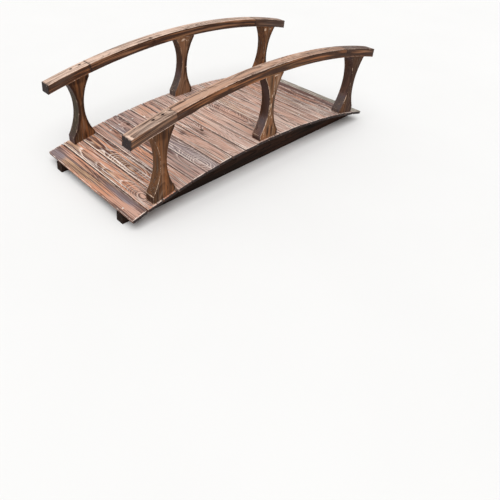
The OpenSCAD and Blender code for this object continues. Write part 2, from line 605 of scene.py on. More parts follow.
# Tones of a place. A grey of more than 1 is moss, and a bleaching tone under 0 has no pale ridges. The dark
# tone also carries painted shade, and the bleaching tone the painted sheen on the handrails' tops.
WARM, GREY, PALE, DARK, CHIP = range(5)


def wood_point(place, grain, heart, tones, off, paint=0.0, chipped=0.0):
    """A point and its attributes."""
    marks = (off, paint, chipped + tones[CHIP])
    return tuple(place), grain, (*heart, tones[DARK]), tuple(tones[:DARK]), marks


def add_marks(tones, marks, along, faces, ragged, seed):
    """Adds marks to a point's tones. For each kind of face, faces gives the place across it and
    how squarely the point faces that way. Ragged is how much the marks' sides wander."""
    for face, tone, at, long, over, wide, amount in marks:
        across, facing = faces[face]
        fray = ragged * wide * wave(along * 26, across * 70, seed) if ragged else 0.0
        there = bump_at(along * 1000, at, long) * bump_at(across * 1000 + fray, over, wide)
        tones[tone] += amount * there * facing


# Cross planks, from the start of the bridge: the first four tones, and the heart of the log: its
# place across the board and below it, in millimetres, and how fast it sinks along the board, in
# millimetres a metre
PLANK_LOOKS = [
    (0.95, 0.1, -0.75, 0.36, 60, 60, 10), (0.85, 0.2, 0.0, 0.43, -6, 52, 20),
    (1.0, 0.0, 0.0, 0.54, -3, 52, -10), (0.65, 0.3, 0.0, 0.47, 56, 50, 20),
    (0.15, 0.8, 0.0, 0.56, 30, 44, 40), (0.05, 0.8, 0.05, 0.51, -8, 52, -15),
    (0.5, 0.2, 0.05, 0.41, 52, 50, -20), (0.4, 0.35, 0.05, 0.42, -38, 50, 20),
    (0.45, 0.3, 0.1, 0.33, -54, 46, -20), (0.45, 0.25, 0.15, 0.33, 60, 52, 15),
    (0.3, 0.5, 0.05, 0.46, 6, 52, 20), (0.5, 0.2, 0.15, 0.28, -58, 50, -15),
    (0.45, 0.2, 0.1, 0.35, 48, 54, 20), (0.4, 0.25, 0.1, 0.39, -42, 52, 10),
    (0.45, 0.3, 0.05, 0.45, 62, 46, -20), (0.45, 0.35, 0.0, 0.42, -52, 52, 20),
    (0.5, 0.3, 0.0, 0.51, 44, 42, 15), (0.4, 0.3, 0.0, 0.84, -36, 48, -20),
    (0.0, 0.5, 0.0, 1.38, 50, 44, 20), (0.0, 1.9, -0.4, 0.42, 40, 50, 20),
]
# Stains that stand out on a plank: tone, place and half length along it, place and half width
# across it where it is a strip, all in millimetres, and how strong
WHOLE_WIDTH = (0, 40)
STAINS = {
    1: [
        (DARK, -145, 75, 15, 14, 0.3), (GREY, -145, 85, 13, 17, 0.7), (DARK, -235, 80, 22, 10, 0.3),
        (GREY, -235, 80, 20, 14, 0.55), (DARK, 20, 120, 27, 9, 0.26), (DARK, -170, 150, -20, 1.7, 0.45),
        (DARK, -190, 130, -27, 1.5, 0.35), (WARM, 30, 110, -8, 11, 0.8), (DARK, 30, 110, -8, 10, -0.1),
        (WARM, -285, 45, -4, 20, -0.35), (DARK, -280, 45, -4, 20, 0.02), (GREY, 270, 60, 0.8),
        (DARK, 270, 60, 0.1), (DARK, 115, 150, 0, 60, -0.13),
    ],
    2: [(WARM, 0, 200, 10, 30, 0.1), (PALE, -240, 60, 0, 30, 0.35), (DARK, 60, 120, 0.08)],
    3: [
        (CHIP, -60, 40, -28, 3, 0.9), (DARK, -130, 90, 0.1), (PALE, -65, 65, 0, 22, -0.45),
        (DARK, -65, 60, 0, 20, 0.06), (DARK, 150, 110, -4, 9, 0.14), (DARK, 250, 80, 0.2),
        (WARM, 0, 330, 0, 60, 0.6), (GREY, 230, 90, -0.3),
    ],
    4: [(DARK, -60, 120, 0.06), (DARK, 190, 90, 0.08), (DARK, -250, 70, -0.19), (DARK, 0, 70, 0.05)],
    5: [(WARM, 10, 110, 0.5), (DARK, 50, 140, 0.35), (GREY, 10, 100, -0.7), (DARK, -220, 90, -0.06)],
    6: [
        (DARK, -80, 110, 0.08), (DARK, 0, 60, 0.06), (WARM, 0, 70, 0.5),
        (PALE, -250, 70, 4, 30, 0.3),
    ],
    7: [
        (WARM, 255, 40, -6, 30, 0.9), (DARK, 255, 40, -6, 30, -0.1), (DARK, -30, 16, 4, 12, 0.35),
        (CHIP, 209, 11, -26, 6, 1.3), (DARK, 160, 110, -0.23),
    ],
    8: [(DARK, -95, 20, -10, 10, 0.3), (DARK, -210, 110, -0.16), (DARK, -40, 60, 0.06)],
    9: [
        (DARK, 0, 60, 0.07), (PALE, -100, 120, 10, 16, 0.3), (DARK, -260, 80, -0.2),
        (DARK, 200, 80, -0.1),
    ],
    10: [(DARK, 0, 60, 0.05), (DARK, -210, 120, -0.19)],
    11: [(DARK, -150, 130, -14, 12, 0.12), (DARK, 130, 90, 0.16)],
    12: [(WARM, 20, 60, 0, 30, 0.4)],
    13: [
        (DARK, 80, 90, 0.05), (DARK, -190, 110, -0.12), (DARK, 270, 60, -0.1), (DARK, 0, 60, 0.06),
        (PALE, -250, 80, 0.3), (DARK, 130, 90, 0.12),
    ],
    14: [(DARK, 110, 80, 0.15), (DARK, -260, 70, -0.08)],
    15: [(DARK, 126, 60, -0.07), (DARK, -126, 60, 0.14), (DARK, 60, 120, 0.08)],
    16: [(DARK, -250, 70, 0.08), (DARK, 0, 60, -0.09), (DARK, 140, 100, 0.1)],
    17: [(DARK, 170, 70, 0.12), (DARK, 90, 120, 0.08)],
    18: [(DARK, 10, 75, 0.38), (DARK, -270, 90, -0.32), (DARK, 0, 320, -34, 6, 0.25)],
    19: [
        (DARK, 40, 100, 0.22), (DARK, -130, 60, -0.32), (PALE, -30, 80, -22, 9, 0.9),
        (DARK, -30, 80, -22, 9, -0.8), (DARK, -250, 80, -0.4),
    ],
    20: [(DARK, 0, 320, -30, 12, 0.35), (DARK, 0, 320, 34, 6, -0.25)],
}
# Boards whose heart comes close under the surface, which rounds the rings into an eye: place and
# half length along the board, and how much closer, all in millimetres
EYES = {2: (-240, 80, 38), 3: (-65, 105, 42), 6: (-240, 80, 34), 11: (-30, 90, 34)}
# How much more than most the edge towards the start of the bridge is worn, in millimetres
WORN_EDGES = {
    1: 0.2, 2: 2.6, 3: 4.0, 4: 3.0, 5: 3.0, 6: 1.6, 7: 2.4, 9: 3.0, 10: 2.4, 12: 2.4, 13: 3.4,
    15: 2.6, 16: 2.6, 18: 3.0,
}
PLANK_STEPS = 116
# Distances of the first rings from a plank's end, in metres
END_RINGS = (0.0, 0.0018, 0.0045, 0.0078)
# Rounding of the plank's ends
PLANK_EDGE = 0.0012


def plank_levels(long):
    """Rings of a plank of this length."""
    near = [place / long for place in END_RINGS]
    return rounded_ends([
        *near,
        *(k / PLANK_STEPS for k in range(2, PLANK_STEPS - 1)),
        *(1 - share for share in reversed(near)),
    ])


def plank_tones(number, seed, y, v, w, nv, nw, half_v, half_w):
    """Tones of a plank at y along it, v across and w up, where it faces nv across and nw up."""
    tones = [*PLANK_LOOKS[number - 1][:DARK + 1], 0.0]
    for tone, at, long, *strip, amount in STAINS.get(number, ()):
        over, wide = strip or WHOLE_WIDTH
        fray = 0.35 * wide * wave(y * 9, v * 60, seed[0])
        tones[tone] += amount * bump_at(y * 1000, at, long) * bump_at(v * 1000 + fray, over, wide)
    tones[WARM] += 0.2 * bump_at(y, 0.03, 0.15)
    # Darker towards the left edge of the deck: painted shade of the left handrail
    tones[DARK] += 0.06 * bump_at(y, 0.315, 0.2)
    tones[CHIP] *= max(nw, 0.0)
    if nw < 0.5:
        # Sides and underside are darker, a painted shade in the gaps and under the deck, but the first
        # plank's front is dark only along its foot, a painted shadow under its lower arris
        tones[DARK] += 0.02 if number == 1 and nv < -0.5 else 0.36
        tones[DARK] += 0.9 * bump_at(w, -half_w, 0.0045) * (number == 1)
    if nw > 0.1:
        # The far edge is darker, here more and there less: painted shade in the gap to the next plank
        fray = 0.0028 + 0.002 * wave(y * 14, number * 0.7, seed[0])
        tones[DARK] += 0.6 * bump_at(half_v - v, 0.0, fray)
    return tones


def plank(number):
    chance = random.Random(1000 + number)
    seed = (number * 1.371, number * 0.613, number * 0.291)
    centre, onward, up = plank_place(number, PLANK_THICK / 2)
    trims = [chance.uniform(0.0, most) for most in (0.0035, 0.0012)]
    skew = [chance.uniform(-0.0012, 0.0012) for _ in range(2)]
    narrow = chance.uniform(0.0, 0.0005)
    shabby = [chance.uniform(0.6, 1.25) for _ in range(2)]
    nibbled = [chance.uniform(0.0012, 0.004), chance.uniform(0.0006, 0.0016)]
    low, high = -DECK_WIDTH / 2 + trims[0], DECK_WIDTH / 2 - trims[1]
    *_, heart_v, heart_w, sink = PLANK_LOOKS[number - 1]
    eye_at, eye_long, eye_rise = EYES.get(number, (0, 1, 0))
    # Boards further on are of coarser wood
    coarse = 1.0 - 0.022 * (number - 1)
    rings = []
    for s, inwards in plank_levels(high - low):
        u = low + (high - low) * s
        to_end = min(s, 1 - s) * (high - low)
        inset = PLANK_EDGE * inwards
        radius = 0.0018 + 0.0011 * wave(s * 9, seed[0], 3.1) + 0.0006 * wave(s * 31, seed[0], 8.7)
        radius = max(max(0.0009, radius) - inset, 0.0006)
        half_v = PLANK_WIDE / 2 - narrow - 0.0004 * (1 + wave(s * 5, seed[1], 1.7)) - inset
        half_w = PLANK_THICK / 2 - inset
        # The corners are rounded by wear
        nibble = nibbled[s > 0.5]
        share = max(0.0, 1 - to_end / nibble)
        half_v -= nibble * (1 - math.sqrt(1 - share * share))
        deep = heart_w + sink * u - eye_rise * math.exp(-((u * 1000 - eye_at) / eye_long) ** 2)
        heart = (seed[1] + heart_v * coarse / 1000, seed[2] - deep / 1000)
        ring = []
        for v, w, nv, nw, off in section(half_v, half_w, radius, 31, 3):
            cut = skew[0] * v / half_v * (1 - s) + skew[1] * v / half_v * s
            y = min(max(u + cut, -DECK_WIDTH / 2), DECK_WIDTH / 2)
            if nw > 0.5:
                ridge = swell(y * 7 + seed[0], v * 210 + seed[1], seed[2])
                broad = swell(y * 3 + seed[1], v * 35, seed[0])
                hollow = 0.0003 * (1 - (v / half_v) ** 2)
                w -= 0.00045 * ridge * ridge + 0.00025 * broad + hollow
            if abs(nv) > 0.5:
                v -= math.copysign(0.0005 * swell(y * 40 + seed[0], w * 90, seed[1]), nv)
            tones = plank_tones(number, seed, y, v, w, nv, nw, half_v, half_w)
            if nw > 0.1 and (nv < -0.3 or nw > 0.9 and v < 0):
                off -= 0.001 * WORN_EDGES.get(number, 1.0)
            # The sawn ends are black, under a worn arris
            inner = 1 - bump_at(half_v - abs(v), 0.0, 0.004)
            worn = shabby[s > 0.5] * bump_at(to_end, 0.0015, 0.005) * max(nw, 0.0) * inner
            paint = 0.97 if inset else 0.8 * bump_at(to_end, 0.0, 0.004) * (nw < 0.3)
            place = centre + onward * v + Vector((0, y, 0)) + up * w
            grain = (y + seed[0], v * coarse + seed[1], w + seed[2])
            ring.append(wood_point(place, grain, heart, tones, off, paint, worn))
        rings.append(ring)
    dress("board_%02d" % number, "plank_%02d" % number, DECK, loft(rings))


STRINGER_STEPS = 150
STRINGER_EDGE = 0.0018
STRINGER_TONES = (0.4, 0.4, 0.0, 0.45, 0.0)


def stringer(side_name):
    """A board on edge with saw marks."""
    side = SIDES[side_name]
    seed = (3.7 + side, 1.9 * side, 0.7)
    heart = (seed[1] + 0.05, seed[2] - 0.05)
    rings = []
    for s, inwards in rounded_ends([k / STRINGER_STEPS for k in range(STRINGER_STEPS + 1)]):
        inset = STRINGER_EDGE * inwards
        x = -STRINGER_HALF + 2 * STRINGER_HALF * s
        top = arch(x, DECK_TOP - PLANK_THICK, DECK_R - PLANK_THICK)
        ring = []
        for v, w, nv, _, off in section(STRINGER_THICK / 2 - inset, top / 2 - inset, 0.0022, 6, 16):
            z = top / 2 + w
            if abs(nv) > 0.5:
                saw_mark = swell(x * 4 + seed[0], z * 160, seed[1])
                broad = swell(x * 6 + seed[1], z * 22, seed[0])
                v -= math.copysign(0.0006 * saw_mark + 0.0008 * broad, nv)
            place = (x, side * STRINGER_Y + v, z)
            grain = (x + seed[0], z + seed[1], v + seed[2])
            ring.append(wood_point(place, grain, heart, STRINGER_TONES, off + 0.001))
        rings.append(ring)
    points, faces = loft(rings)
    # The section runs anticlockwise about +X here, so the faces are turned over
    faces = [face[::-1] for face in faces]
    dress("bearer_" + side_name, "stringer_" + side_name, BEARER, (points, faces))


# Tones of the posts' flat faces, which show the waist, and of the hollow ones. Sound is how much
# less than most the arrises are worn, in metres, burn how much darker the margins are towards
# either end of the bridge, and line how pale the arrises towards the start are.
PostLook = namedtuple("PostLook", "warm grey dark_flat dark_hollow sound burn_start burn_end line")
POST_LOOKS = {
    ("right", "start"): PostLook(0.55, 0.05, 0.54, 0.57, 0.0004, 0.0, 0.25, 0.82),
    ("right", "middle"): PostLook(0.9, 0.05, 0.36, 0.9, 0.0002, 0.0, 0.35, 0.95),
    ("right", "end"): PostLook(0.15, 0.6, 0.73, 0.8, 0.0012, 0.1, 0.2, 0.8),
    ("left", "start"): PostLook(0.75, 0.05, 0.51, 0.72, 0.0016, 0.4, 0.35, 0.3),
    ("left", "middle"): PostLook(0.45, 0.45, 0.38, 0.86, 0.0004, 0.0, 0.45, 0.9),
    ("left", "end"): PostLook(0.8, 0.05, 0.46, 0.66, 0.0014, 0.35, 0.4, 0.5),
}
# Marks on a post: face, tone, height and half height, place and half width across the face, in
# millimetres, and how strong
FLAT, HOLLOW = range(2)
POST_MARKS = {
    ("right", "start"): [
        (HOLLOW, CHIP, 25, 2.8, 0, 40, 1.12), (HOLLOW, DARK, 10, 13, 0, 40, 0.3),
        (FLAT, WARM, 70, 90, 24, 26, 0.5), (FLAT, DARK, 60, 90, 30, 16, 0.16),
        (FLAT, DARK, 280, 22, 0, 60, 0.2), (FLAT, DARK, 60, 70, -34, 14, 0.12),
        (FLAT, PALE, 120, 60, -8, 7, 0.12),
    ],
    ("right", "middle"): [
        # Low on the hollow faces, lighter and greyer: partly weathering, partly a painted sheen
        (FLAT, PALE, 150, 200, 0, 60, 0.08), (HOLLOW, DARK, 50, 50, 0, 40, -0.4),
        (HOLLOW, GREY, 50, 60, 0, 40, 1.0), (HOLLOW, GREY, 190, 120, 0, 40, 0.5),
        (HOLLOW, DARK, 8, 6, 0, 40, 0.4), (FLAT, CHIP, 245, 60, 4, 2.4, 1.15),
        (FLAT, CHIP, 205, 10, -4, 4, 1.3), (FLAT, CHIP, 160, 13, -7, 4, 1.3),
        (FLAT, DARK, 158, 9, -13, 3, 0.6), (FLAT, CHIP, 122, 17, -9, 5, 1.22),
        (FLAT, CHIP, 100, 9, 5, 3, 1.22), (FLAT, WARM, 100, 120, 6, 14, 0.6),
        (FLAT, DARK, 180, 40, 3, 3, 0.5), (FLAT, DARK, 40, 24, -14, 6, 0.45),
        (FLAT, DARK, 32, 28, 14, 5, 0.45), (FLAT, CHIP, 295, 4, 6, 34, 1.08),
        (FLAT, CHIP, 50, 34, -2, 3, 0.94), (FLAT, CHIP, 45, 30, 24, 3, 0.94),
        (FLAT, DARK, 262, 34, -14, 10, 0.2), (FLAT, PALE, 255, 45, 24, 9, 0.35),
        (FLAT, CHIP, 30, 24, -34, 4, 1.2),
    ],
    ("right", "end"): [
        (FLAT, CHIP, 281, 3.5, -8, 12, 0.9), (FLAT, CHIP, 60, 40, -26, 4, 0.7),
        # Low on the hollow faces, lighter and greyer: partly weathering, partly a painted sheen
        (HOLLOW, GREY, 50, 50, 0, 40, 0.6), (HOLLOW, DARK, 55, 50, 0, 40, -0.35),
    ],
    ("left", "start"): [
        (FLAT, DARK, 250, 50, -16, 22, 0.22), (FLAT, WARM, 40, 50, 20, 30, 0.5),
        (FLAT, DARK, 40, 40, 30, 20, 0.12), (FLAT, CHIP, 60, 40, -30, 2.5, 0.8),
        (FLAT, DARK, 130, 60, 1, 5, -0.2), (FLAT, DARK, 287, 12, 0, 60, 0.25),
        (HOLLOW, GREY, 140, 150, 0, 40, 1.9), (FLAT, GREY, 140, 90, -40, 24, 0.5),
    ],
    ("left", "middle"): [
        (FLAT, PALE, 150, 200, 0, 60, 0.11), (FLAT, CHIP, 289, 8, -14, 26, 1.1),
        (FLAT, CHIP, 281, 5, 14, 10, 1.08), (FLAT, CHIP, 146, 7, 11, 5, 1.44),
        # Low on the hollow faces, lighter and greyer: partly weathering, partly a painted sheen
        (FLAT, DARK, 166, 8, 11, 5, 0.7), (HOLLOW, GREY, 50, 70, 0, 40, 0.9),
        (HOLLOW, DARK, 40, 60, 0, 40, -0.3), (FLAT, DARK, 180, 130, 0, 5, 0.35),
        (FLAT, DARK, 250, 50, 22, 16, 0.2),
    ],
    ("left", "end"): [
        (FLAT, CHIP, 285, 10, -26, 9, 1.37), (FLAT, CHIP, 283, 4, 14, 14, 1.2),
        (FLAT, DARK, 150, 80, -2, 9, -0.3),
    ],
}
WAIST_LOW = TOE
WAIST_HIGH = POST_TALL - LIP
WAIST_R = arc_radius((WAIST_HIGH - WAIST_LOW) / 2, FOOT_HALF - WAIST_HALF)
WAIST_STEPS = 72


def post_half(t):
    """Half width of a post at height t over its foot."""
    if t <= WAIST_LOW or t >= WAIST_HIGH:
        return FOOT_HALF
    off_middle = t - (WAIST_LOW + WAIST_HIGH) / 2
    return WAIST_HALF + WAIST_R - math.sqrt(max(WAIST_R ** 2 - off_middle ** 2, 0.0))


def post_levels():
    """Heights of a post's rings over its foot. Some lie past its ends, which the arches cut."""
    return [
        -0.03, -0.02, -0.012, -0.004, 0.004, 0.012, 0.018, WAIST_LOW - 0.0035, WAIST_LOW - 0.0012,
        *(WAIST_LOW + (WAIST_HIGH - WAIST_LOW) * i / WAIST_STEPS for i in range(WAIST_STEPS + 1)),
        *(WAIST_HIGH + past for past in (0.0012, 0.004, 0.01, 0.018, 0.028, 0.04)),
    ]


def post_tones(look, marks, seed, t, v, w, nv, nw, off):
    """Tones of a post at height t, v across its flat faces and w through it, where it faces nv
    and nw, this far off the nearest arris."""
    flat = nw * nw
    # The flame bit deeper along the arrises
    fray = 0.012 + 0.007 * wave(t * 9 + seed[1], v * 8, seed[0]) + 0.004 * wave(t * 40, v * 30, seed[2])
    burn = (look.burn_start if v < 0 else look.burn_end) * bump_at(off, 0.0, fray) * flat
    dark = look.dark_flat * flat + look.dark_hollow * (1 - flat) + burn
    tones = [look.warm * (0.6 + 0.4 * flat), look.grey * (1.4 - flat), 0.0, dark, 0.0]
    if v < 0 and (nw > 0 or w > 0):
        thick = 0.002 + 0.0009 * wave(t * 30, seed[1], 5.1)
        broken = 1 + 0.5 * wave(t * 17, 2.2, seed[0])
        tones[CHIP] = look.line * bump_at(off, 0.0, thick) * broken
    add_marks(tones, marks, t, ((v, max(nw, 0.0)), (w, abs(nv))), 0.4, seed[1])
    return tones


def on_face(ring, face):
    """Whether a whole ring lies on an arched face."""
    return all(abs(point[0][2] - face(point[0][0])) < 1e-7 for point in ring)


def post(side_name, end_name):
    """A waisted post between the deck's arch and the handrail's."""
    side = SIDES[side_name]
    foot_x, lean = POSTS[side_name, end_name]
    lean = math.radians(lean)
    chance = random.Random("%s %s" % (side_name, end_name))
    seed = [chance.uniform(0, 9) for _ in range(3)]
    heart = (seed[1] + chance.uniform(-0.02, 0.02), seed[2] - chance.uniform(0.03, 0.07))
    look = POST_LOOKS[side_name, end_name]
    marks = POST_MARKS[side_name, end_name]
    base = arch(foot_x, DECK_TOP, DECK_R)
    rings = []
    for t in post_levels():
        radius = 0.0019 + 0.001 * wave(t * 22, seed[0], seed[1]) + 0.0007 * wave(t * 75, seed[2], seed[0])
        # Where the waist begins, the hollow faces have an arris across them too
        crease = min(abs(t - WAIST_LOW), abs(t - WAIST_HIGH))
        ring = []
        for v, w, nv, nw, off in section(post_half(t), POST_THICK / 2, max(0.001, radius), 22, 10):
            worn_v, worn_w = v, w
            if abs(nv) > 0.9:
                worn_v -= math.copysign(0.0008 * swell(t * 14 + seed[0], w * 60, seed[1]), nv)
            if abs(nw) > 0.9:
                worn_w -= math.copysign(0.0006 * swell(t * 12 + seed[1], v * 55, seed[2]), nw)
            x = foot_x + worn_v * math.cos(lean) + t * math.sin(lean)
            z = base + t * math.cos(lean) - worn_v * math.sin(lean)
            low, high = post_floor(x), post_ceiling(x)
            z = min(max(z, low), high)
            if abs(nv) > 0.5:
                off = min(off, crease + 0.0006)
            tones = post_tones(look, marks, seed, t, v, w, nv, nw, off)
            off = min(off + look.sound, z - low + 0.0006, high - z + 0.0012)
            grain = (t + seed[0], v + seed[1], w + seed[2])
            ring.append(wood_point((x, side * POST_Y - worn_w, z), grain, heart, tones, off))
        rings.append(ring)
    # Of the rings that lie wholly on an arch, one stays
    while on_face(rings[1], post_floor):
        rings.pop(0)
    while on_face(rings[-2], post_ceiling):
        rings.pop()
    name = "post_%s_%s" % (side_name, end_name)
    weld(dress("carved_" + name, name, POST, loft(rings)))


def weld(piece, distance=0.00002):
    """Joins points that lie together, and drops the faces that this leaves without area."""
    work = bmesh.new()
    work.from_mesh(piece.data)
    bmesh.ops.remove_doubles(work, verts=work.verts[:], dist=distance)
    bmesh.ops.dissolve_degenerate(work, dist=distance, edges=work.edges[:])
    bmesh.ops.recalc_face_normals(work, faces=work.faces[:])
    work.to_mesh(piece.data)
    work.free()
    shade(piece.data, SHARP)


# Looks of the handrails' lengths: tones, with the dark on top and on the sides. The paler tops and the
# darker, warmer sides are partly weathering and partly painted light from above, with a painted sheen on the
# tops
RailLook = namedtuple("RailLook", "warm grey bleached dark_top dark_side")
RAIL_LOOKS = {
    ("right", "start"): RailLook(0.4, 0.45, 0.55, 0.45, 0.51),
    ("right", "main"): RailLook(0.95, 0.0, 0.47, 0.42, 0.73),
    ("right", "end"): RailLook(0.25, 0.4, 0.36, 0.6, 0.76),
    ("left", "start"): RailLook(0.6, 0.1, 1.0, 0.32, 0.66),
    ("left", "main"): RailLook(0.45, 0.1, 1.0, 0.34, 0.68),
    ("left", "end"): RailLook(0.15, 0.7, 0.75, 0.45, 0.78),
}
# Marks on the rails: face, tone, place and half length along the bridge, place and half width
# across the face, in millimetres, and how strong
TOP, FLANK = range(2)
RAIL_MARKS = {
    "right": [
        (TOP, DARK, -467, 6, -22, 5, 0.7), (FLANK, DARK, -467, 7, -14.5, 5, 0.7),
        (TOP, DARK, 224, 4, 4, 4, 0.6), (TOP, GREY, 520, 160, 0, 40, 0.6),
        (TOP, GREY, -690, 60, 0, 40, 0.4), (FLANK, CHIP, -590, 160, -18.5, 2.5, 1.5),
        (FLANK, PALE, -560, 190, 6, 10, 0.2), (TOP, CHIP, -742, 9, 10, 24, 1.7),
        (FLANK, CHIP, -420, 30, -17.5, 2.5, 1.4), (TOP, CHIP, 0, 745, 25, 1.6, 1.4),
        (TOP, CHIP, 0, 745, -25, 1.2, 1.1), (FLANK, DARK, -480, 270, 17, 2, 0.3),
        (FLANK, DARK, 200, 420, 17, 2, 0.1), (FLANK, DARK, 0, 500, -15.5, 5, 0.1),
        (FLANK, DARK, -640, 90, 6, 8, 0.15),
    ],
    "left": [
        (TOP, CHIP, 0, 745, 25, 1.4, 1.3), (FLANK, DARK, 0, 745, 17, 2, 0.2),
        (FLANK, DARK, -549, 6, 0, 30, 0.3), (FLANK, DARK, -590, 36, 2, 30, 0.14),
        (TOP, DARK, -204, 6, 14, 16, 0.55), (FLANK, DARK, -198, 9, 6, 16, 0.22),
        (TOP, CHIP, -192, 6, 20, 7, 1.0), (TOP, CHIP, -553, 3, 10, 20, 1.2),
        (FLANK, CHIP, -600, 50, -17.5, 2.5, 1.0), (FLANK, GREY, -660, 50, 0, 30, 0.4),
        (FLANK, WARM, -590, 40, 4, 20, 0.6),
    ],
}
# How much darker each rail is at the far end of the bridge, and the paint left at its joints
FAR_DARK = {"left": 0.14, "right": 0.36}
JOINT_PAINT = {"left": 0.75, "right": 0.2}
# Length along the rail's arc for a length along the bridge
ARC_SHARE = 1.01
RAIL_STEP = 0.007
END_BEVEL = 0.002
JOINT_BEVEL = 0.0007


def rail_tones(side_name, part, seed, x, v, w, nv, nw):
    """Tones of a handrail at x along the bridge, v across it and w up, where it faces nv and nw."""
    look = RAIL_LOOKS[side_name, part]
    top = max(nw, 0.0) ** 2
    # The rail darkens towards the far end of the bridge. Its sides are darker than its top, and its
    # underside is darkest, as painted shade
    far = max(0.0, x / RAIL_HALF) ** 1.5
    dark = look.dark_top * top + look.dark_side * (1 - top) + FAR_DARK[side_name] * far
    dark += 0.2 if nw < -0.5 else 0.0
    stain = swell(x * ARC_SHARE * 4.5 + seed[1], v * 20, seed[2])
    # The top is paler, partly bleached by weather and partly a painted sheen; the sides hold back their pale
    # ridges
    bleached = look.bleached * top * (1 - 0.35 * far) - 0.8 * (1 - top)
    tones = [look.warm * (1.5 - 0.5 * top), look.grey * (0.7 + 0.6 * stain), bleached, dark, 0.0]
    add_marks(tones, RAIL_MARKS[side_name], x, ((v, top), (w, max(nv, 0.0))), 0.0, seed[1])
    return tones


def end_turn(x, r):
    """Where a length of rail ends: joints are square to the arc, the rail's own ends upright."""
    return math.asin(x / RAIL_R) if abs(x) < RAIL_HALF else math.asin(x / r)


def handrail(side_name, part):
    """One of a handrail's three lengths."""
    side = SIDES[side_name]
    chance = random.Random("rail %s %s" % (side_name, part))
    seed = [chance.uniform(0, 9) for _ in range(3)]
    first, last = RAIL_LENGTHS[part]
    centre_z = RAIL_TOP - RAIL_R
    mid_r = RAIL_R - RAIL_THICK / 2
    heart = (seed[1] + 0.012 * side, seed[2] - 0.055)
    steps = round((last - first) / RAIL_STEP)
    rings = []
    for s, inwards in rounded_ends([k / steps for k in range(steps + 1)]):
        x = first + (last - first) * s
        u = x * ARC_SHARE
        at_end = s == 0 and part == "start" or s == 1 and part == "end"
        inset = (END_BEVEL if at_end else JOINT_BEVEL) * inwards
        # The slope of the bevel at a joint: the last rings of a length lie its width back
        back = 0.0
        if s in (0, 1) and not at_end:
            back = (JOINT_BEVEL - inset) * (1 if s == 0 else -1)
        # Black paint on the rail's own ends, and a little of it at the joints
        paint = math.exp(-max(0.0, RAIL_HALF - abs(x) - 0.0012) / 0.0009)
        if not at_end:
            paint = max(paint, JOINT_PAINT[side_name] * math.exp(-min(x - first, last - x) / 0.0012))
        radius = 0.0016 + 0.0006 * wave(u * 12, seed[0], 4.4) + 0.0005 * wave(u * 60, seed[1], 2.2)
        radius = max(0.001, radius) - inset * 0.5
        ring = []
        for v, w, nv, nw, off in section(RAIL_WIDE / 2 - inset, RAIL_THICK / 2 - inset, radius, 16, 9):
            worn_v, worn_w = v, w
            if abs(nv) > 0.9:
                worn_v -= math.copysign(0.0004 * swell(u * 9 + seed[0], w * 90, seed[1]), nv)
            if nw > 0.9:
                worn_w -= 0.0004 * swell(u * 8 + seed[1], v * 70, seed[2])
            r = mid_r + worn_w
            turn = end_turn(first, r) * (1 - s) + end_turn(last, r) * s + back / r
            place = (r * math.sin(turn), side * POST_Y - worn_v, centre_z + r * math.cos(turn))
            tones = rail_tones(side_name, part, seed, x, v, w, nv, nw)
            grain = (u + seed[0], v + seed[1], w + seed[2])
            ring.append(wood_point(place, grain, heart, tones, off, paint))
        rings.append(ring)
    node = "handrail_" + side_name + ("" if part == "main" else "_" + part)
    piece = dress("grip_rail_%s_%s" % (side_name, part), node, RAIL, loft(rings))
    if part != "main":
        drill(piece, [hole(side_name, part, dx) for dx in HOLE_X])


# Screw holes in a handrail's ends: places along the bridge from the post's head, and radius
HOLE_X = (-0.0215, 0.0215)
HOLE_R = 0.0042
# How far the holes lie outwards from the middle of each rail, and along it from the post's head
HOLE_OUT = {"left": 0.008, "right": -0.006}
HOLE_SHIFT = {"left": 0.008, "right": 0.0}
# Heights of a hole's rings over its mouth, and their shares of its radius
HOLE_PROFILE = [(-0.0085, 0.92), (-0.0015, 1.0), (0.0015, 1.25)]
HOLE_SIDES = 20
# What the attribute marks says on a hole's wall: black paint, which is painted shade in the hole
SHADED_HOLE_WALL = (0.01, 1.0, 0.0)


def hole(side_name, end_name, dx):
    """Mouth and outward direction of a screw hole in the top of a handrail."""
    x, lean = POSTS[side_name, end_name]
    x += dx + math.sin(math.radians(lean)) * POST_TALL + HOLE_SHIFT[side_name]
    z = arch(x, RAIL_TOP, RAIL_R)
    up = Vector((x, 0, z - (RAIL_TOP - RAIL_R))).normalized()
    return Vector((x, SIDES[side_name] * (POST_Y + HOLE_OUT[side_name]), z)), up


def turned(mouth, up, levels, spin=0.0):
    """Points and faces of a turned shape with an open top. Each level is a height over the mouth
    and a radius for each side."""
    basis = up.to_track_quat("Z", "Y").to_matrix() @ Matrix.Rotation(spin, 3, "Z")
    sides = len(levels[0][1])
    points = []
    for height, radii in levels:
        for i, radius in enumerate(radii):
            a = 2 * math.pi * i / sides
            points.append(mouth + basis @ Vector((radius * math.cos(a), radius * math.sin(a), height)))
    return points, [*bands(len(levels), sides), tuple(reversed(range(sides)))]


def plug(mouth, up):
    """The solid that a screw hole takes out."""
    levels = [(height, [HOLE_R * share] * HOLE_SIDES) for height, share in HOLE_PROFILE]
    points, faces = turned(mouth, up, levels)
    return points, [*faces, tuple(range(len(points) - HOLE_SIDES, len(points)))]


def gather(shapes):
    """Points and faces of several shapes as one."""
    points, faces = [], []
    for more_points, more_faces in shapes:
        first = len(points)
        points += more_points
        faces += [tuple(first + i for i in face) for face in more_faces]
    return points, faces


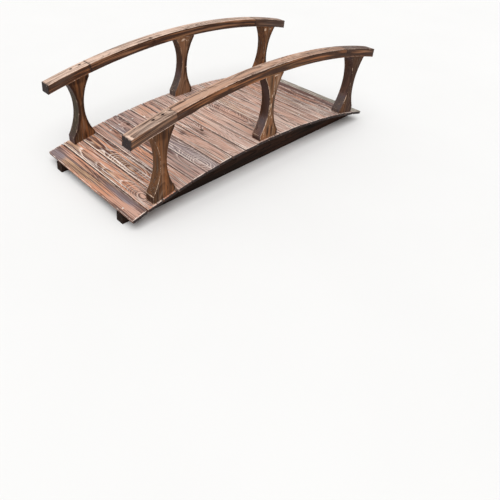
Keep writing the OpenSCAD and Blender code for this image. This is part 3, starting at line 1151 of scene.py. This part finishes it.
def cut_away(piece, shape):
    """The mesh of a piece less a shape."""
    mesh = new_mesh("cutter", *shape, piece.data.materials[0])
    cutter = new_object("cutter", mesh)
    cut = piece.modifiers.new("holes", "BOOLEAN")
    cut.operation = "DIFFERENCE"
    cut.object = cutter
    cut.solver = "EXACT"
    bpy.context.view_layer.update()
    done = bpy.data.meshes.new_from_object(piece.evaluated_get(bpy.context.evaluated_depsgraph_get()))
    piece.modifiers.clear()
    bpy.data.objects.remove(cutter)
    bpy.data.meshes.remove(mesh)
    return done


def drill(piece, holes):
    """Cuts countersunk holes. The new points take their attributes from the nearest old ones, apart from the
    walls, which are black as painted shade in the holes."""
    old = piece.data
    done = cut_away(piece, gather(plug(mouth, up) for mouth, up in holes))
    tree = KDTree(len(old.vertices))
    for i, vertex in enumerate(old.vertices):
        tree.insert(vertex.co, i)
    tree.balance()
    nearest = [tree.find(vertex.co)[1] for vertex in done.vertices]
    for key in ATTRIBUTES:
        if key in done.attributes:
            done.attributes.remove(done.attributes[key])
        source = old.attributes[key].data
        values = [tuple(source[i].vector) for i in nearest]
        if key == "marks":
            for i, vertex in enumerate(done.vertices):
                # The walls of the holes are black: painted shade
                if min((vertex.co - mouth).cross(up).length for mouth, up in holes) < HOLE_R * 1.2:
                    values[i] = SHADED_HOLE_WALL
        write_attribute(done, key, values)
    piece.data = done
    name = old.name
    bpy.data.meshes.remove(old)
    done.name = name


# Screws: a domed head, as heights of its rings over its seat and their shares of its radius, and
# the cross recess in it, whose rings have a share for an arm, its side and the corner between two
HEAD_PROFILE = [(-0.0022, 0.55), (-0.0002, 0.98), (0.0002, 1.0), (0.0006, 0.86), (0.00085, 0.62)]
RECESS_PROFILE = [(0.0009, (0.5, 0.24, 0.16, 0.24)), (-0.0006, (0.44, 0.2, 0.13, 0.2))]
RECESS_BOTTOM = -0.0008
SCREW_SIDES = 16
# Radius of the heads in the deck, and how far they are sunk
DULL_HEAD = (0.0028, 0.0014)
BRIGHT_HEAD = (0.0044, 0.0006)
# The screws that are still bright: plank, place along and across it, in millimetres
BRIGHT_SCREWS = [
    (1, -228, -19), (4, 228, 19), (5, 236, -2), (6, 232, -4), (9, -228, 19), (15, -228, -19),
    (18, -228, -19),
]
# Dull screws closer than this to a bright one are left out
SCREWS_APART = 0.012


def screw_head(mouth, up, radius, spin):
    levels = [(height, [radius * share] * SCREW_SIDES) for height, share in HEAD_PROFILE]
    for height, shares in RECESS_PROFILE:
        levels.append((height, [radius * share for share in shares] * (SCREW_SIDES // 4)))
    points, faces = turned(mouth, up, levels, spin)
    hub = len(points)
    bottom = hub - SCREW_SIDES
    points.append(mouth + up * RECESS_BOTTOM)
    faces += [(bottom + i, bottom + (i + 1) % SCREW_SIDES, hub) for i in range(SCREW_SIDES)]
    return points, faces


def deck_screws():
    """Dull screws in pairs over the stringers, and a few bright ones."""
    dull, bright = [], []
    chance = random.Random(77)

    def put(kind, number, y, v, radius, sunk):
        centre, onward, up = plank_place(number, sunk)
        place = centre + Vector((0, y, 0)) + onward * v
        kind.append(screw_head(place, up, radius, chance.uniform(0, 1.5)))

    for number in range(1, PLANKS + 1):
        near = [(y / 1000, v / 1000) for plank_number, y, v in BRIGHT_SCREWS if plank_number == number]
        for side in SIDES.values():
            for v in (-0.019, 0.019):
                v += chance.uniform(-0.003, 0.003)
                y = side * (STRINGER_Y + chance.uniform(-0.004, 0.004))
                if all(math.hypot(y - other_y, v - other_v) > SCREWS_APART for other_y, other_v in near):
                    put(dull, number, y, v, *DULL_HEAD)
        for y, v in near:
            put(bright, number, y, v, *BRIGHT_HEAD)
    build("deck_screws", *gather(dull), BLACK_STEEL, sharp=SHARP_STEEL)
    build("deck_screws_new", *gather(bright), ZINC, sharp=SHARP_STEEL)


def rail_screws():
    """The screws down in the handrails' holes."""
    shapes = []
    for side_name in SIDES:
        for end_name in ("start", "end"):
            for dx in HOLE_X:
                mouth, up = hole(side_name, end_name, dx)
                shapes.append(screw_head(mouth - up * 0.007, up, HOLE_R * 0.82, 0.4 + dx * 30))
    build("rail_screws", *gather(shapes), BLACK_STEEL, sharp=SHARP_STEEL)


for number in range(1, PLANKS + 1):
    plank(number)
for side_name in SIDES:
    stringer(side_name)
    for part in RAIL_LENGTHS:
        handrail(side_name, part)
for side_name, end_name in POSTS:
    post(side_name, end_name)
deck_screws()
rail_screws()


# Floor, light and camera
FLOOR_R = 40
FLOOR_SIDES = 64
# Lamps: strength, angle in degrees that each spreads over, and where it shines
LAMPS = {
    "key": (2.1, 50, (0.35, 0.3, -1.0)),
    "fill": (0.5, 80, (0.9, -0.1, -0.55)),
}


def floor():
    t = Finish("floor")
    place = t.out(t.node("TexCoord"), "Object")
    mottle = t.noise(place, (1.3, 1.3, 1.3), 3.0)
    t.set("Base Color", t.mix(mottle, (0.8, 0.8, 0.795), (0.84, 0.84, 0.835)))
    t.set("Roughness", 0.9)
    t.set("Specular IOR Level", 0.1)
    angles = [math.tau * i / FLOOR_SIDES for i in range(FLOOR_SIDES)]
    outline = [(FLOOR_R * math.cos(a), FLOOR_R * math.sin(a), 0.0) for a in angles]
    mesh = new_mesh("floor", outline, [tuple(range(FLOOR_SIDES))], t.mat)
    new_object("floor", mesh)


def lights():
    world = bpy.data.worlds.new("world")
    bpy.context.scene.world = world
    t = Tree(world)
    # The camera, glass and gloss see a white backdrop, and everything else the soft sky
    ray = t.node("LightPath")
    seen = t.math("MAXIMUM", t.out(ray, "Is Camera Ray"), t.out(ray, "Is Transmission Ray"))
    seen = t.math("MAXIMUM", seen, t.out(ray, "Is Glossy Ray"))
    sky = t.out(t.node("Background", (1.0, 0.99, 0.98), 0.5))
    backdrop = t.out(t.node("Background", (0.93, 0.93, 0.93), 1.0))
    t.node("OutputWorld", t.out(t.node("MixShader", seen, sky, backdrop)))
    for name, (strength, angle, aim) in LAMPS.items():
        lamp = bpy.data.lights.new(name, "SUN")
        lamp.energy = strength
        lamp.angle = math.radians(angle)
        new_object(name, lamp).rotation_euler = Vector(aim).to_track_quat("-Z", "Y").to_euler()


# The camera was fitted to the bridge's edges in the photograph, in pixels of its square frame.
# Its place is in metres, and its turns are in degrees.
FRAME_PX = 500
FOCAL_PX = 525.01
CENTRE_PX = (170.0, 150.0)
CAMERA_AT = (-1.6476, -1.5509, 1.2828)
YAW, PITCH, ROLL = 49.119, 30.959, -1.65
SENSOR = 36.0


def camera():
    yaw, pitch, roll = (math.radians(a) for a in (YAW, PITCH, ROLL))
    ahead = Vector((math.cos(yaw) * math.cos(pitch), math.sin(yaw) * math.cos(pitch), -math.sin(pitch)))
    level = ahead.cross(Vector((0, 0, 1))).normalized()
    plumb = ahead.cross(level)
    right = math.cos(roll) * level + math.sin(roll) * plumb
    up = math.sin(roll) * level - math.cos(roll) * plumb
    data = bpy.data.cameras.new("camera")
    data.sensor_width = SENSOR
    data.lens = FOCAL_PX * SENSOR / FRAME_PX
    data.shift_x = (FRAME_PX / 2 - CENTRE_PX[0]) / FRAME_PX
    data.shift_y = (CENTRE_PX[1] - FRAME_PX / 2) / FRAME_PX
    data.clip_end = 200
    viewer = new_object("camera", data)
    axes = Matrix((right, up, -ahead)).transposed()
    viewer.matrix_world = Matrix.Translation(CAMERA_AT) @ axes.to_4x4()
    bpy.context.scene.camera = viewer


floor()
lights()
camera()
bpy.context.scene.view_settings.view_transform = "Standard"
